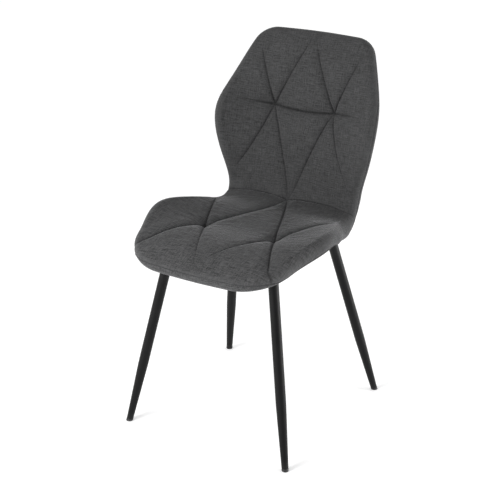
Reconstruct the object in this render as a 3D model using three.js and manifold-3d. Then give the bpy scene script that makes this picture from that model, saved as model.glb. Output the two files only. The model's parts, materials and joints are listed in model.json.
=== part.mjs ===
// A dining chair: one padded, fabric-covered shell bolted to four splayed and tapered steel legs.
// Millimetres, +Z up. The sitter faces -Y, and the origin is on the floor under the chair's middle.

import * as THREE from 'three';
import { mergeVertices } from 'three/addons/utils/BufferGeometryUtils.js';
import Module from 'manifold-3d';

// ---- Driving dimensions ----

// Stations of the padded shell, from its front edge to its top edge: the middle of its thickness on
// the centre plane (y, z), half the width to the rim's own centreline, how far that rim is lifted
// towards the sitter, and how much deeper than the rim's half round the underside lies.
const STATIONS = [
  { y: -270, z: 435, halfWidth: 180, lift: 0, depth: 3 },
  { y: -233, z: 452, halfWidth: 178, lift: -3, depth: 7 },
  { y: -190, z: 462, halfWidth: 182, lift: 0, depth: 8 },
  { y: -113, z: 461, halfWidth: 206, lift: 23, depth: 8 },
  { y: -70, z: 458, halfWidth: 209, lift: 29, depth: 7 },
  { y: -10, z: 458, halfWidth: 193, lift: 20, depth: 5 },
  { y: 48, z: 458, halfWidth: 170, lift: 5.5, depth: 4 },
  { y: 99, z: 460, halfWidth: 158, lift: -7.5, depth: 9 },
  { y: 144, z: 477, halfWidth: 157, lift: -5.5, depth: 15 },
  { y: 164, z: 515, halfWidth: 163.5, lift: 11, depth: 8 },
  { y: 179.5, z: 577, halfWidth: 184, lift: 33, depth: 1 },
  { y: 203, z: 651, halfWidth: 196.5, lift: 49.5, depth: 0 },
  { y: 220, z: 712, halfWidth: 184.5, lift: 29.5, depth: 0 },
  { y: 233, z: 769, halfWidth: 163, lift: 10, depth: 0 },
  { y: 248, z: 806, halfWidth: 148, lift: 5, depth: 0 },
  { y: 271, z: 838, halfWidth: 132, lift: 7, depth: 0 },
];
const WING_POWER = 2.65; // how late the surface starts to curl up towards its wings
const FRONT_CORNER_RADIUS = 86;
const TOP_CORNER_RADIUS = 27;
const FRONT_BOW = 9; // the front edge is bowed forwards by this much
const TOP_BOW = 6.5;
const BOW_REACH = 100; // the bows fade out over this distance from their edges

const RIM_RADIUS = 14.7; // the padded edge is a half round of this radius
const CREASE = 417; // distance from the front edge to the line between seat foam and back foam

const FRONT_FABRIC = 1.6;
const BACK_FABRIC = 1.4;
const PLY = 9;
const PLY_EDGE = 3.5; // how far the plywood reaches past the rim's centreline
const GAP = 0.3;
const WELT_RADIUS = 1.3;
const WELT_SINK = 0.9; // the welt's centre lies this far under the fabric's surface
const SEAM_ANGLE_BACK = -6; // where the welt runs on the half round: 0 is its outermost line
const SEAM_ANGLE_SEAT = -56; // under the seat's sides
const SEAM_ANGLE_FRONT = 44;
const SEAM_CLIMB = [380, 440]; // along the shell, where the welt comes up round the hips
const HIP_SWELL = 11; // how far the padding stands out under the seat's rear corners
const FOAM_SLACK = 0.25; // share of that swell which the foam doesn't fill
const HIP_SWELL_STARTS = [215, 285]; // along the shell, where the swell grows and where it fades
const HIP_SWELL_ENDS = [372, 425];
const HIP_SWELL_ANGLES = [15, -90]; // on the half round, from no swell through all of it to none
const SEAM_HALF_GAP = 7; // degrees that each fabric edge keeps from the welt's centre

const TUBE_RADIUS = 11.6;
const TUBE_WALL = 1.5;
const TAPER_LENGTH = 151; // the lowest stretch of each leg tapers
const TUBE_END_RADIUS = 7.7;
const TUBE_END_HEIGHT = 6; // the glide's head fills this length below the tube
const LEG_TOP_Z = 443; // height at which the legs' upper points are given
const LEG_PAIRS = {
  front: { footX: 211, footY: -232.5, topX: 129.5, topY: -157.5 },
  rear: { footX: 210.5, footY: 206.5, topX: 125, topY: 102 },
};

// A plate's sides leave its round end at the flare angle from the outward line.
const PLATE = { thickness: 4, legEnd: 18, length: 62, halfWidth: 26, corner: 10, flare: 75 };
const BOLT_PLACES = [[-58, -22], [-58, 22], [-29, 0]]; // on the plate, from the leg's axis
const BOLT = { radius: 3, headRadius: 5.6, headHeight: 3.4, tipSink: 1.5 };
const TEE_NUT = { flangeRadius: 9, flange: 1.5, barrelRadius: 4, bore: 3.3, sink: 0.8, lift: 0.8 };
const BOLT_CLEARANCE = 3.4;
const NUT_CLEARANCE = 4.3;
const GLIDE = {
  headProud: 0.3,
  footInset: 0.4,
  footHeight: 1.6,
  shoulder: 0.8,
  stemLength: 20,
  stemTip: 2,
};

// Steps of the faceted surfaces.
const FRONT_STEPS = 3;
const FRONT_CORNER_STEPS = 4;
const SIDE_STEPS = 20;
const TOP_CORNER_STEPS = 3;
const TOP_STEPS = 2;
const RINGS = [1, 0.66, 0.33]; // rings of the padded surfaces, from the centre line (1) to the rim (0)
const SPINE_START = 95;
const SPINE_END = 95;
const LEG_SIDES = 24;
const GLIDE_SIDES = 16;
const PLATE_ARC_STEPS = 4;
const BOLT_SIDES = 8;
const WELT_SIDES = 5;

// ---- Materials ----

const finish = (color, roughness, metalness) => () =>
  new THREE.MeshStandardMaterial({ color, roughness, metalness });
const seatFabric = finish(0x4b4b4c, 0.92, 0);
const backFabric = finish(0x4a4a4b, 0.92, 0);
const weltFabric = finish(0x3d3d3e, 0.9, 0);
const foam = finish(0xd8cfae, 0.95, 0);
const plywood = finish(0xb08a5a, 0.7, 0);
const blackSteel = finish(0x1a1a1b, 0.45, 0.6);
const blackPlastic = finish(0x101011, 0.6, 0);
const zincSteel = finish(0xa9adb0, 0.35, 0.9);

// ---- Solids ----

const wasm = await Module();
wasm.setup();

/** Merges shared vertices and drops triangles that have no area. */
function welded(geometry) {
  geometry.deleteAttribute('normal');
  geometry.deleteAttribute('uv');
  const merged = mergeVertices(geometry, 1e-4);
  const source = merged.index.array;
  const kept = [];
  for (let i = 0; i < source.length; i += 3) {
    const [a, b, c] = [source[i], source[i + 1], source[i + 2]];
    if (a !== b && b !== c && c !== a) kept.push(a, b, c);
  }
  merged.setIndex(kept);
  return merged;
}

/** Turns a closed geometry into a solid, with its faces pointing out. */
function solid(geometry, matrix = new THREE.Matrix4()) {
  const closed = welded(geometry.clone().applyMatrix4(matrix));
  const vertProperties = Float32Array.from(closed.attributes.position.array);
  const build = (triangles) =>
    new wasm.Manifold(new wasm.Mesh({ numProp: 3, vertProperties, triVerts: Uint32Array.from(triangles) }));
  const body = build(closed.index.array);
  if (body.volume() > 0) return body;
  return build(Array.from(closed.index.array).reverse());
}

/** Turns a solid back into a geometry that a mesh can hold. */
function geometryOf(body) {
  const mesh = body.getMesh();
  const geometry = new THREE.BufferGeometry();
  geometry.setAttribute('position', new THREE.BufferAttribute(Float32Array.from(mesh.vertProperties), 3));
  geometry.setIndex(Array.from(mesh.triVerts));
  geometry.computeVertexNormals();
  return geometry;
}

const chair = new THREE.Group();
chair.name = 'dining_chair';

function addPiece(name, body, material) {
  const mesh = new THREE.Mesh(geometryOf(body), material());
  mesh.name = name;
  chair.add(mesh);
}

// ---- The shell's surface ----

/** A smooth curve through values at increasing knots, straight at both ends. */
function naturalSpline(knots, values) {
  const count = knots.length;
  const upper = new Array(count).fill(0);
  const right = new Array(count).fill(0);
  const bend = new Array(count).fill(0);
  for (let i = 1; i < count - 1; i++) {
    const before = knots[i] - knots[i - 1];
    const after = knots[i + 1] - knots[i];
    const kink = (values[i + 1] - values[i]) / after - (values[i] - values[i - 1]) / before;
    const pivot = 2 * (before + after) - before * upper[i - 1];
    upper[i] = after / pivot;
    right[i] = (6 * kink - before * right[i - 1]) / pivot;
  }
  for (let i = count - 2; i > 0; i--) bend[i] = right[i] - upper[i] * bend[i + 1];
  return (at) => {
    let i = 0;
    while (i < count - 2 && at > knots[i + 1]) i++;
    const width = knots[i + 1] - knots[i];
    const b = (at - knots[i]) / width;
    const a = 1 - b;
    const cubic = (a ** 3 - a) * bend[i] + (b ** 3 - b) * bend[i + 1];
    return a * values[i] + b * values[i + 1] + (cubic * width * width) / 6;
  };
}

const knots = [0];
for (let i = 1; i < STATIONS.length; i++) {
  const [from, to] = [STATIONS[i - 1], STATIONS[i]];
  knots.push(knots[i - 1] + Math.hypot(to.y - from.y, to.z - from.z));
}
const LENGTH = knots[knots.length - 1];
const curveOf = (key) => naturalSpline(knots, STATIONS.map((station) => station[key]));
const centreY = curveOf('y');
const centreZ = curveOf('z');
const halfWidth = curveOf('halfWidth');
const lift = curveOf('lift');
const extraDepth = curveOf('depth');

const STEP = 0.5; // step of the surface's numeric slopes
const ROUNDS = 8; // rounds of each search for a point on the surface
const PROBE_STEP = 4; // spacing of the points that feel for the shell's underside over a plate

/** A point of the shell's mid surface: x across the chair, s along it from the front edge. */
function midPoint(x, s) {
  const slope = new THREE.Vector2(
    centreY(s + STEP) - centreY(s - STEP),
    centreZ(s + STEP) - centreZ(s - STEP),
  ).normalize();
  const raise = lift(s) * Math.abs(x / halfWidth(s)) ** WING_POWER;
  return new THREE.Vector3(x, centreY(s) - slope.y * raise, centreZ(s) + slope.x * raise);
}

/** The mid surface's normal, which points towards the sitter. */
function midNormal(x, s) {
  const across = midPoint(x + STEP, s).sub(midPoint(x - STEP, s));
  const along = midPoint(x, s + STEP).sub(midPoint(x, s - STEP));
  return across.cross(along).normalize();
}

/** A point at a height above the mid surface; the underside follows the seat's extra depth. */
function offsetPoint(x, s, height) {
  const depth = height < 0 ? extraDepth(s) : 0;
  return midPoint(x, s).addScaledVector(midNormal(x, s), height - depth);
}

/** The rim's centreline from the front middle to the top middle, as [x, s] pairs with x >= 0. */
function halfOutline() {
  const points = [];
  const fade = (distance) => Math.max(0, 1 - distance / BOW_REACH) ** 2;
  const add = (x, s) => {
    const fromFront = FRONT_BOW * (x / halfWidth(0)) ** 2 * fade(s);
    const fromTop = TOP_BOW * (x / halfWidth(LENGTH)) ** 2 * fade(LENGTH - s);
    points.push([x, s + fromFront - fromTop]);
  };
  const frontX = halfWidth(0) - FRONT_CORNER_RADIUS;
  for (let k = 0; k < FRONT_STEPS; k++) add((frontX * k) / FRONT_STEPS, 0);
  for (let k = 0; k < FRONT_CORNER_STEPS; k++) {
    const turn = ((Math.PI / 2) * k) / FRONT_CORNER_STEPS;
    const s = FRONT_CORNER_RADIUS * (1 - Math.cos(turn));
    add(halfWidth(s) - FRONT_CORNER_RADIUS * (1 - Math.sin(turn)), s);
  }
  const sideStart = FRONT_CORNER_RADIUS;
  const sideEnd = LENGTH - TOP_CORNER_RADIUS;
  for (let k = 0; k < SIDE_STEPS; k++) {
    const s = THREE.MathUtils.lerp(sideStart, sideEnd, k / SIDE_STEPS);
    add(halfWidth(s), s);
  }
  for (let k = 0; k < TOP_CORNER_STEPS; k++) {
    const turn = ((Math.PI / 2) * k) / TOP_CORNER_STEPS;
    const s = sideEnd + TOP_CORNER_RADIUS * Math.sin(turn);
    add(halfWidth(s) - TOP_CORNER_RADIUS * (1 - Math.cos(turn)), s);
  }
  const topX = halfWidth(LENGTH) - TOP_CORNER_RADIUS;
  for (let k = 0; k <= TOP_STEPS; k++) add(topX * (1 - k / TOP_STEPS), LENGTH);
  return points;
}

const half = halfOutline();
const mirrored = half.slice(1, -1).reverse().map(([x, s]) => [-x, s]);
const rimPlaces = [...half, ...mirrored];
const SPOKES = rimPlaces.length;

/** The rim's frame at each outline point: its centre, the way out, the normal and the seam's angle. */
const rim = rimPlaces.map(([x, s], i) => {
  const at = (index) => midPoint(...rimPlaces[(index + SPOKES) % SPOKES]);
  const tangent = at(i + 1).sub(at(i - 1)).normalize();
  const normal = midNormal(x, s);
  const out = tangent.cross(normal).normalize();
  const forward = midPoint(x, s - STEP).sub(midPoint(x, s + STEP)).normalize();
  const frontness = Math.max(0, out.dot(forward)) ** 2;
  const frontEdge = s < LENGTH / 2 ? frontness : 0;
  const climb = THREE.MathUtils.smoothstep(s, ...SEAM_CLIMB);
  const side = THREE.MathUtils.lerp(SEAM_ANGLE_SEAT, SEAM_ANGLE_BACK, climb);
  const seam = THREE.MathUtils.lerp(side, SEAM_ANGLE_FRONT, frontEdge);
  return { centre: midPoint(x, s), out, normal, seam, depth: extraDepth(s) };
});

/** A point beside the rim's centreline: `out` away from the chair, `height` above the mid surface. */
function besideRim(spoke, out, height, depthShare = height < 0 ? 1 : 0) {
  const frame = rim[spoke];
  const along = height - frame.depth * depthShare;
  return frame.centre.clone().addScaledVector(frame.out, out).addScaledVector(frame.normal, along);
}

/** How far the padded edge stands out of its half round at an angle. */
function swell(spoke, degrees) {
  const s = rimPlaces[spoke][1];
  const [high, low] = HIP_SWELL_ANGLES;
  const around = THREE.MathUtils.clamp((high - degrees) / (high - low), 0, 1);
  const grown = THREE.MathUtils.smoothstep(s, ...HIP_SWELL_STARTS);
  const faded = THREE.MathUtils.smoothstep(s, ...HIP_SWELL_ENDS);
  return HIP_SWELL * grown * (1 - faded) * Math.sin(Math.PI * around) ** 1.3;
}

/** A point of the padded edge's half round, `inset` under its surface. */
function onRoll(spoke, degrees, inset) {
  const turn = THREE.MathUtils.degToRad(degrees);
  const radius = RIM_RADIUS - inset + swell(spoke, degrees);
  const depthShare = Math.max(0, -Math.sin(turn));
  return besideRim(spoke, radius * Math.cos(turn), radius * Math.sin(turn), depthShare);
}

/** A point of a padded surface on one ring: `height` above the mid surface. */
function onRing(spoke, ring, height) {
  const [x, s] = rimPlaces[spoke];
  const spine = THREE.MathUtils.clamp(s, SPINE_START, LENGTH - SPINE_END);
  return offsetPoint(x * (1 - ring), THREE.MathUtils.lerp(s, spine, ring), height);
}

/**
 * A layer of the shell: a lathe's spokes and rings, bent onto the shell. The section lists, from the
 * centre line out and back again, a function that places each of its points on a given spoke.
 */
function layer(section) {
  const last = section.length - 1;
  const profile = section.map((_, k) => new THREE.Vector2(Math.sin((Math.PI * k) / last), k));
  const geometry = new THREE.LatheGeometry(profile, SPOKES);
  const position = geometry.attributes.position;
  for (let i = 0; i < position.count; i++) {
    const spoke = Math.floor(i / section.length) % SPOKES;
    const point = section[i % section.length](spoke);
    position.setXYZ(i, point.x, point.y, point.z);
  }
  // The way back is split along the same diagonals as the way out, so that layers nest.
  const triangles = [];
  for (let spoke = 0; spoke < SPOKES; spoke++) {
    for (let k = 0; k < last; k++) {
      const a = k + spoke * section.length;
      const [b, c, d] = [a + section.length, a + section.length + 1, a + 1];
      if (k < last / 2) triangles.push(a, b, d, c, d, b);
      else triangles.push(a, b, c, a, c, d);
    }
  }
  geometry.setIndex(triangles);
  return solid(geometry);
}

const ringsAt = (height) => RINGS.map((ring) => (spoke) => onRing(spoke, ring, height));

/** Points on the half round from one angle to the seam, which differs from spoke to spoke. */
function rollTo(from, side, inset, steps) {
  const points = [];
  for (let k = 0; k <= steps; k++) {
    points.push((spoke) => {
      const end = rim[spoke].seam + side * SEAM_HALF_GAP;
      return onRoll(spoke, THREE.MathUtils.lerp(from, end, k / steps), inset);
    });
  }
  return points;
}

// ---- Upholstery and plywood ----

function frontCover() {
  const outer = [...ringsAt(RIM_RADIUS), ...rollTo(90, 1, 0, 5)];
  const inner = [...ringsAt(RIM_RADIUS - FRONT_FABRIC), ...rollTo(90, 1, FRONT_FABRIC, 5)];
  return layer([...outer, ...inner.reverse()]);
}

function backCover() {
  const outer = [...ringsAt(-RIM_RADIUS), ...rollTo(-90, -1, 0, 4)];
  const inner = [...ringsAt(-RIM_RADIUS + BACK_FABRIC), ...rollTo(-90, -1, BACK_FABRIC, 4)];
  return layer([...outer, ...inner.reverse()]);
}

const PLY_BACK = -RIM_RADIUS + BACK_FABRIC + GAP;
const PLY_FRONT = PLY_BACK + PLY;

function plyShell() {
  const edge = [
    [0, PLY_BACK],
    [PLY_EDGE, PLY_BACK + PLY / 3],
    [PLY_EDGE, PLY_FRONT - PLY / 3],
    [0, PLY_FRONT],
  ].map(([out, height]) => (spoke) => besideRim(spoke, out, height));
  return layer([...ringsAt(PLY_BACK), ...edge, ...ringsAt(PLY_FRONT).reverse()]);
}

/** Foam over the whole shell; it laps the plywood's edge. */
function wholeFoam() {
  const under = FRONT_FABRIC + GAP;
  const clearOfWelt = WELT_SINK + WELT_RADIUS + 4 * GAP;
  const roll = [90, 50, 10, -30].map((degrees, k) => {
    return (spoke) => {
      const inset = k ? clearOfWelt + FOAM_SLACK * swell(spoke, degrees) : under;
      return onRoll(spoke, degrees, inset);
    };
  });
  const edge = [
    [PLY_EDGE + 2 * GAP, PLY_BACK + PLY / 2],
    [PLY_EDGE + 2 * GAP, PLY_FRONT - PLY / 3 + GAP],
    [GAP, PLY_FRONT + GAP],
  ];
  return layer([
    ...ringsAt(RIM_RADIUS - under),
    ...roll,
    ...edge.map(([out, height]) => (spoke) => besideRim(spoke, out, height)),
    ...ringsAt(PLY_FRONT + GAP).reverse(),
  ]);
}

/** A large block on one side of the crease: -1 holds the seat, 1 holds the back. */
function creaseBlock(side) {
  const size = 2 * LENGTH;
  const along = midPoint(0, CREASE + STEP).sub(midPoint(0, CREASE - STEP)).normalize();
  const block = new THREE.BoxGeometry(size, size, size);
  const place = new THREE.Matrix4().makeBasis(
    new THREE.Vector3(1, 0, 0),
    along,
    new THREE.Vector3(1, 0, 0).cross(along),
  );
  place.setPosition(midPoint(0, CREASE).addScaledVector(along, side * (size / 2 + GAP / 2)));
  return solid(block, place);
}

/** A round cord along the seam between the two covers. */
function welt() {
  const geometry = new THREE.TorusGeometry(10, 1, WELT_SIDES, SPOKES);
  const position = geometry.attributes.position;
  for (let i = 0; i < position.count; i++) {
    const side = (Math.floor(i / (SPOKES + 1)) % WELT_SIDES) / WELT_SIDES;
    const spoke = (i % (SPOKES + 1)) % SPOKES;
    const turn = THREE.MathUtils.degToRad(rim[spoke].seam);
    const radius = RIM_RADIUS - WELT_SINK + swell(spoke, rim[spoke].seam);
    const out = radius * Math.cos(turn) + WELT_RADIUS * Math.cos(2 * Math.PI * side);
    const height = radius * Math.sin(turn) + WELT_RADIUS * Math.sin(2 * Math.PI * side);
    const point = besideRim(spoke, out, height, Math.max(0, -Math.sin(turn)));
    position.setXYZ(i, point.x, point.y, point.z);
  }
  return solid(geometry);
}

// ---- Legs and their plates ----

/** The shell's [x, s] that lies above a point, looking along the plate's normal. */
function shellUnder(point, x, s) {
  let place = [x, s];
  for (let round = 0; round < ROUNDS; round++) {
    const [atX, atS] = place;
    const away = point.clone().sub(offsetPoint(atX, atS, -RIM_RADIUS));
    const across = midPoint(atX + STEP, atS).sub(midPoint(atX - STEP, atS)).normalize();
    const along = midPoint(atX, atS + STEP).sub(midPoint(atX, atS - STEP)).normalize();
    place = [atX + away.dot(across), atS + away.dot(along)];
  }
  return place;
}

/** Where a leg meets the shell, and the frame of the plate that joins them. */
function legSite(pair, side) {
  const foot = new THREE.Vector3(side * pair.footX, pair.footY, 0);
  const top = new THREE.Vector3(side * pair.topX, pair.topY, LEG_TOP_Z);
  const axis = top.clone().sub(foot).normalize();
  let [x, s] = [side * pair.topX, pair.topY - STATIONS[0].y];
  const meet = top.clone();
  for (let round = 0; round < ROUNDS; round++) {
    [x, s] = shellUnder(meet, x, s);
    const skin = offsetPoint(x, s, -RIM_RADIUS);
    const normal = midNormal(x, s);
    const ahead = skin.clone().sub(meet).dot(normal) / axis.dot(normal);
    meet.addScaledVector(axis, ahead);
  }
  const inward = new THREE.Vector3(-side, pair.topY < 0 ? 1 : -1, 0).normalize();
  const middle = meet.clone().addScaledVector(inward, PLATE.length / 2);
  const [middleX, middleS] = shellUnder(middle, x, s);
  const normal = midNormal(middleX, middleS);
  const outward = inward.clone().negate();
  outward.addScaledVector(normal, -outward.dot(normal)).normalize();
  const across = normal.clone().cross(outward);
  let touch = Infinity; // the shell's lowest point over the plate, measured along the normal
  for (let u = -PLATE.length - PLATE.corner; u <= PLATE.legEnd; u += PROBE_STEP) {
    for (let v = -PLATE.halfWidth - PLATE.corner; v <= PLATE.halfWidth + PLATE.corner; v += PROBE_STEP) {
      const probe = meet.clone().addScaledVector(outward, u).addScaledVector(across, v);
      const [px, ps] = shellUnder(probe, middleX, middleS);
      touch = Math.min(touch, offsetPoint(px, ps, -RIM_RADIUS).sub(meet).dot(normal));
    }
  }
  const drop = (touch - 2 * GAP) / axis.dot(normal);
  const origin = meet.clone().addScaledVector(axis, drop);
  const place = new THREE.Matrix4().makeBasis(outward, across, normal).setPosition(origin);
  return { foot, axis, normal, origin, place };
}

/** A flat teardrop: round about the leg, wide at the inner end, its top face at z = 0. */
function plateBody(site) {
  const { thickness, legEnd, length, halfWidth: wide, corner, flare } = PLATE;
  const outline = [];
  const arc = (x, y, radius, from, to, steps) => {
    for (let k = 0; k <= steps; k++) {
      const turn = THREE.MathUtils.degToRad(THREE.MathUtils.lerp(from, to, k / steps));
      outline.push(new THREE.Vector2(x + radius * Math.cos(turn), y + radius * Math.sin(turn)));
    }
  };
  arc(0, 0, legEnd, -flare, flare, 2 * PLATE_ARC_STEPS);
  arc(-length, wide, corner, flare, 180, PLATE_ARC_STEPS);
  arc(-length, -wide, corner, 180, 360 - flare, PLATE_ARC_STEPS);
  const shape = new THREE.Shape(outline);
  for (const [x, y] of BOLT_PLACES) {
    shape.holes.push(new THREE.Path().absarc(x, y, BOLT_CLEARANCE, 0, 2 * Math.PI, true));
  }
  const geometry = new THREE.ExtrudeGeometry(shape, {
    depth: thickness,
    bevelEnabled: false,
    curveSegments: BOLT_SIDES,
  });
  return solid(geometry.translate(0, 0, -thickness), site.place);
}

/** A ring or a round bar about the Z axis, from its [radius, height] profile. */
function turned(profile, sides, place) {
  const points = profile.map(([radius, height]) => new THREE.Vector2(radius, height));
  const geometry = new THREE.LatheGeometry(points, sides).rotateX(Math.PI / 2);
  return solid(geometry, place);
}

const closedRing = (profile) => [...profile, profile[0]];

/** The leg's own frame: Z runs up its axis from the floor. */
function legPlace(site) {
  const upright = new THREE.Quaternion().setFromUnitVectors(new THREE.Vector3(0, 0, 1), site.axis);
  return new THREE.Matrix4().compose(site.foot, upright, new THREE.Vector3(1, 1, 1));
}

function legTube(site) {
  const reach = site.origin.distanceTo(site.foot) + 2 * TUBE_RADIUS;
  const profile = closedRing([
    [TUBE_END_RADIUS, TUBE_END_HEIGHT],
    [TUBE_RADIUS, TAPER_LENGTH],
    [TUBE_RADIUS, reach],
    [TUBE_RADIUS - TUBE_WALL, reach],
    [TUBE_RADIUS - TUBE_WALL, TAPER_LENGTH],
    [TUBE_END_RADIUS - TUBE_WALL, TUBE_END_HEIGHT],
  ]);
  const size = 16 * TUBE_RADIUS;
  const above = new THREE.BoxGeometry(size, size, size);
  above.translate(0, 0, size / 2 - PLATE.thickness - GAP);
  return turned(profile, LEG_SIDES, legPlace(site)).subtract(solid(above, site.place));
}

/** A moulded glide: a stem inside the tube and a rounded head that stands flat on the floor. */
function glideBody(site) {
  const { headProud, footInset, footHeight, shoulder, stemLength, stemTip } = GLIDE;
  const stem = TUBE_END_RADIUS - TUBE_WALL - GAP;
  const head = TUBE_END_RADIUS + headProud;
  const headTop = TUBE_END_HEIGHT - GAP;
  const stemTop = headTop + stemLength;
  const belowFloor = -head / 2;
  const profile = [
    [0, belowFloor],
    [head - footInset, belowFloor],
    [head, footHeight],
    [head, headTop - shoulder],
    [head - shoulder, headTop],
    [stem, headTop],
    [stem, stemTop - stemTip],
    [stem - stemTip / 2, stemTop],
    [0, stemTop],
  ];
  const size = 8 * head;
  const floor = new THREE.BoxGeometry(size, size, size).translate(site.foot.x, site.foot.y, -size / 2);
  return turned(profile, GLIDE_SIDES, legPlace(site)).subtract(solid(floor));
}

/** The frame of one bolt: on its plate's top face, with Z through the shell. */
function boltPlace(site, [u, v]) {
  return site.place.clone().multiply(new THREE.Matrix4().makeTranslation(u, v, 0));
}

/** Height of the plywood's upper face above the plate's top face, along one bolt. */
function plyHeight(site, place) {
  const point = new THREE.Vector3().setFromMatrixPosition(place);
  const [x, s] = shellUnder(point, point.x, point.y - STATIONS[0].y);
  return offsetPoint(x, s, PLY_FRONT).sub(point).dot(site.normal);
}

function boltBody(place, height) {
  const under = -PLATE.thickness - GAP;
  const { radius, headRadius, headHeight, tipSink } = BOLT;
  const tip = height - tipSink;
  const profile = [
    [0, under - headHeight],
    [headRadius * 0.6, under - headHeight],
    [headRadius, under - headHeight * 0.4],
    [headRadius, under],
    [radius, under],
    [radius, tip],
    [0, tip],
  ];
  return turned(profile, BOLT_SIDES, place);
}

function teeNutBody(place, height) {
  const { flangeRadius, flange, barrelRadius, bore, sink, lift: footLift } = TEE_NUT;
  const top = height - sink;
  const foot = height - PLY + footLift;
  const profile = closedRing([
    [bore, foot],
    [barrelRadius, foot],
    [barrelRadius, top - flange],
    [flangeRadius, top - flange],
    [flangeRadius, top],
    [bore, top],
  ]);
  return turned(profile, BOLT_SIDES, place);
}

/** The stepped hole that a bolt and its nut need through the plywood and the rear fabric. */
function nutHole(place, height) {
  const seat = height - TEE_NUT.sink - TEE_NUT.flange - GAP;
  const wide = TEE_NUT.flangeRadius + GAP;
  const below = -PLATE.thickness;
  const above = height + PLY / 3;
  const profile = [
    [0, below],
    [NUT_CLEARANCE, below],
    [NUT_CLEARANCE, seat],
    [wide, seat],
    [wide, above],
    [0, above],
  ];
  return turned(profile, BOLT_SIDES, place);
}

// ---- Assembly ----

const foamBody = wholeFoam();
let plyBody = plyShell();
let backBody = backCover();

for (const [row, pair] of Object.entries(LEG_PAIRS)) {
  for (const [hand, side] of [['left', -1], ['right', 1]]) {
    const site = legSite(pair, side);
    const label = `${row}_${hand}`;
    addPiece(`leg_${label}`, legTube(site), blackSteel);
    addPiece(`leg_plate_${label}`, plateBody(site), blackSteel);
    addPiece(`glide_${label}`, glideBody(site), blackPlastic);
    BOLT_PLACES.forEach((spot, k) => {
      const place = boltPlace(site, spot);
      const height = plyHeight(site, place);
      const hole = nutHole(place, height);
      plyBody = plyBody.subtract(hole);
      backBody = backBody.subtract(hole);
      addPiece(`bolt_${label}_${k + 1}`, boltBody(place, height), zincSteel);
      addPiece(`tee_nut_${label}_${k + 1}`, teeNutBody(place, height), zincSteel);
    });
  }
}

addPiece('ply_shell', plyBody, plywood);
addPiece('seat_foam', foamBody.intersect(creaseBlock(-1)), foam);
addPiece('back_foam', foamBody.intersect(creaseBlock(1)), foam);
addPiece('front_cover', frontCover(), seatFabric);
addPiece('back_cover', backBody, backFabric);
addPiece('welt', welt(), weltFabric);

export default chair;
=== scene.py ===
"""The dining chair's looks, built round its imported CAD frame: metres, +Z up, the sitter faces -Y."""

import json
import math

import bmesh
import bpy
import numpy as np
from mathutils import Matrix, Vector
from mathutils.geometry import delaunay_2d_cdt


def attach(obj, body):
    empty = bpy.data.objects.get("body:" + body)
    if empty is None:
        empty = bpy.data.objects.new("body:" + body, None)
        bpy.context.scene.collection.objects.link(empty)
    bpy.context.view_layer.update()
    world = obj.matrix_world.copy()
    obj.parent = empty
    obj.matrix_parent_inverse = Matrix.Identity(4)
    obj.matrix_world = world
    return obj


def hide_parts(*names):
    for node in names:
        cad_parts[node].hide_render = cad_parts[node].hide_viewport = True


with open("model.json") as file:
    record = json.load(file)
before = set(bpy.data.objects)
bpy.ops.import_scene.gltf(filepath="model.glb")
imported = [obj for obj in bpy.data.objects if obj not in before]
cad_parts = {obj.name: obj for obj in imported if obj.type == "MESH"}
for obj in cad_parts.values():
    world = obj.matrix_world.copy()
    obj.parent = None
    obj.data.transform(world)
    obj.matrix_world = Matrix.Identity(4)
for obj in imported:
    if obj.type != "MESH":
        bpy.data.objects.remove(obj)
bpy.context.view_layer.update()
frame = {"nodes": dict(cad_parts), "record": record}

MM = 0.001

# ---- The shell's surface, in millimetres, as the CAD source has it ----

# Along the centre line from the front edge to the top edge: y, z, half width, lift of the rim, depth.
STATIONS = np.array([
    (-270, 435, 180, 0, 3), (-233, 452, 178, -3, 7), (-190, 462, 182, 0, 8), (-113, 461, 206, 23, 8),
    (-70, 458, 209, 29, 7), (-10, 458, 193, 20, 5), (48, 458, 170, 5.5, 4), (99, 460, 158, -7.5, 9),
    (144, 477, 157, -5.5, 15), (164, 515, 163.5, 11, 8), (179.5, 577, 184, 33, 1),
    (203, 651, 196.5, 49.5, 0), (220, 712, 184.5, 29.5, 0), (233, 769, 163, 10, 0),
    (248, 806, 148, 5, 0), (271, 838, 132, 7, 0),
], float)
WING_POWER = 2.65
FRONT_CORNER, TOP_CORNER = 86.0, 27.0
FRONT_BOW, TOP_BOW, BOW_REACH = 9.0, 6.5, 100.0
RIM = 14.7
# The welt's angle on the rounded rim, and the s between which it climbs from the seat's to the back's.
SEAM_BACK, SEAM_SEAT, SEAM_FRONT = -6.0, -56.0, 44.0
SEAM_CLIMB = (380.0, 440.0)
# The padding stands out under the seat's rear corners, between these s and around these degrees.
HIP_SWELL, SWELL_POWER = 11.0, 1.3
SWELL_RISE, SWELL_FALL = (215, 285), (372, 425)
SWELL_FROM, SWELL_AROUND = 15, 105
FRONT_FABRIC, BACK_FABRIC, PLY, PLY_EDGE, GAP = 1.6, 1.4, 9.0, 3.5, 0.3
PLY_BACK = -RIM + BACK_FABRIC + GAP
PLY_FRONT = PLY_BACK + PLY
WELT_RADIUS, WELT_SINK = 1.3, 0.9
STEP = 0.5


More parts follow.
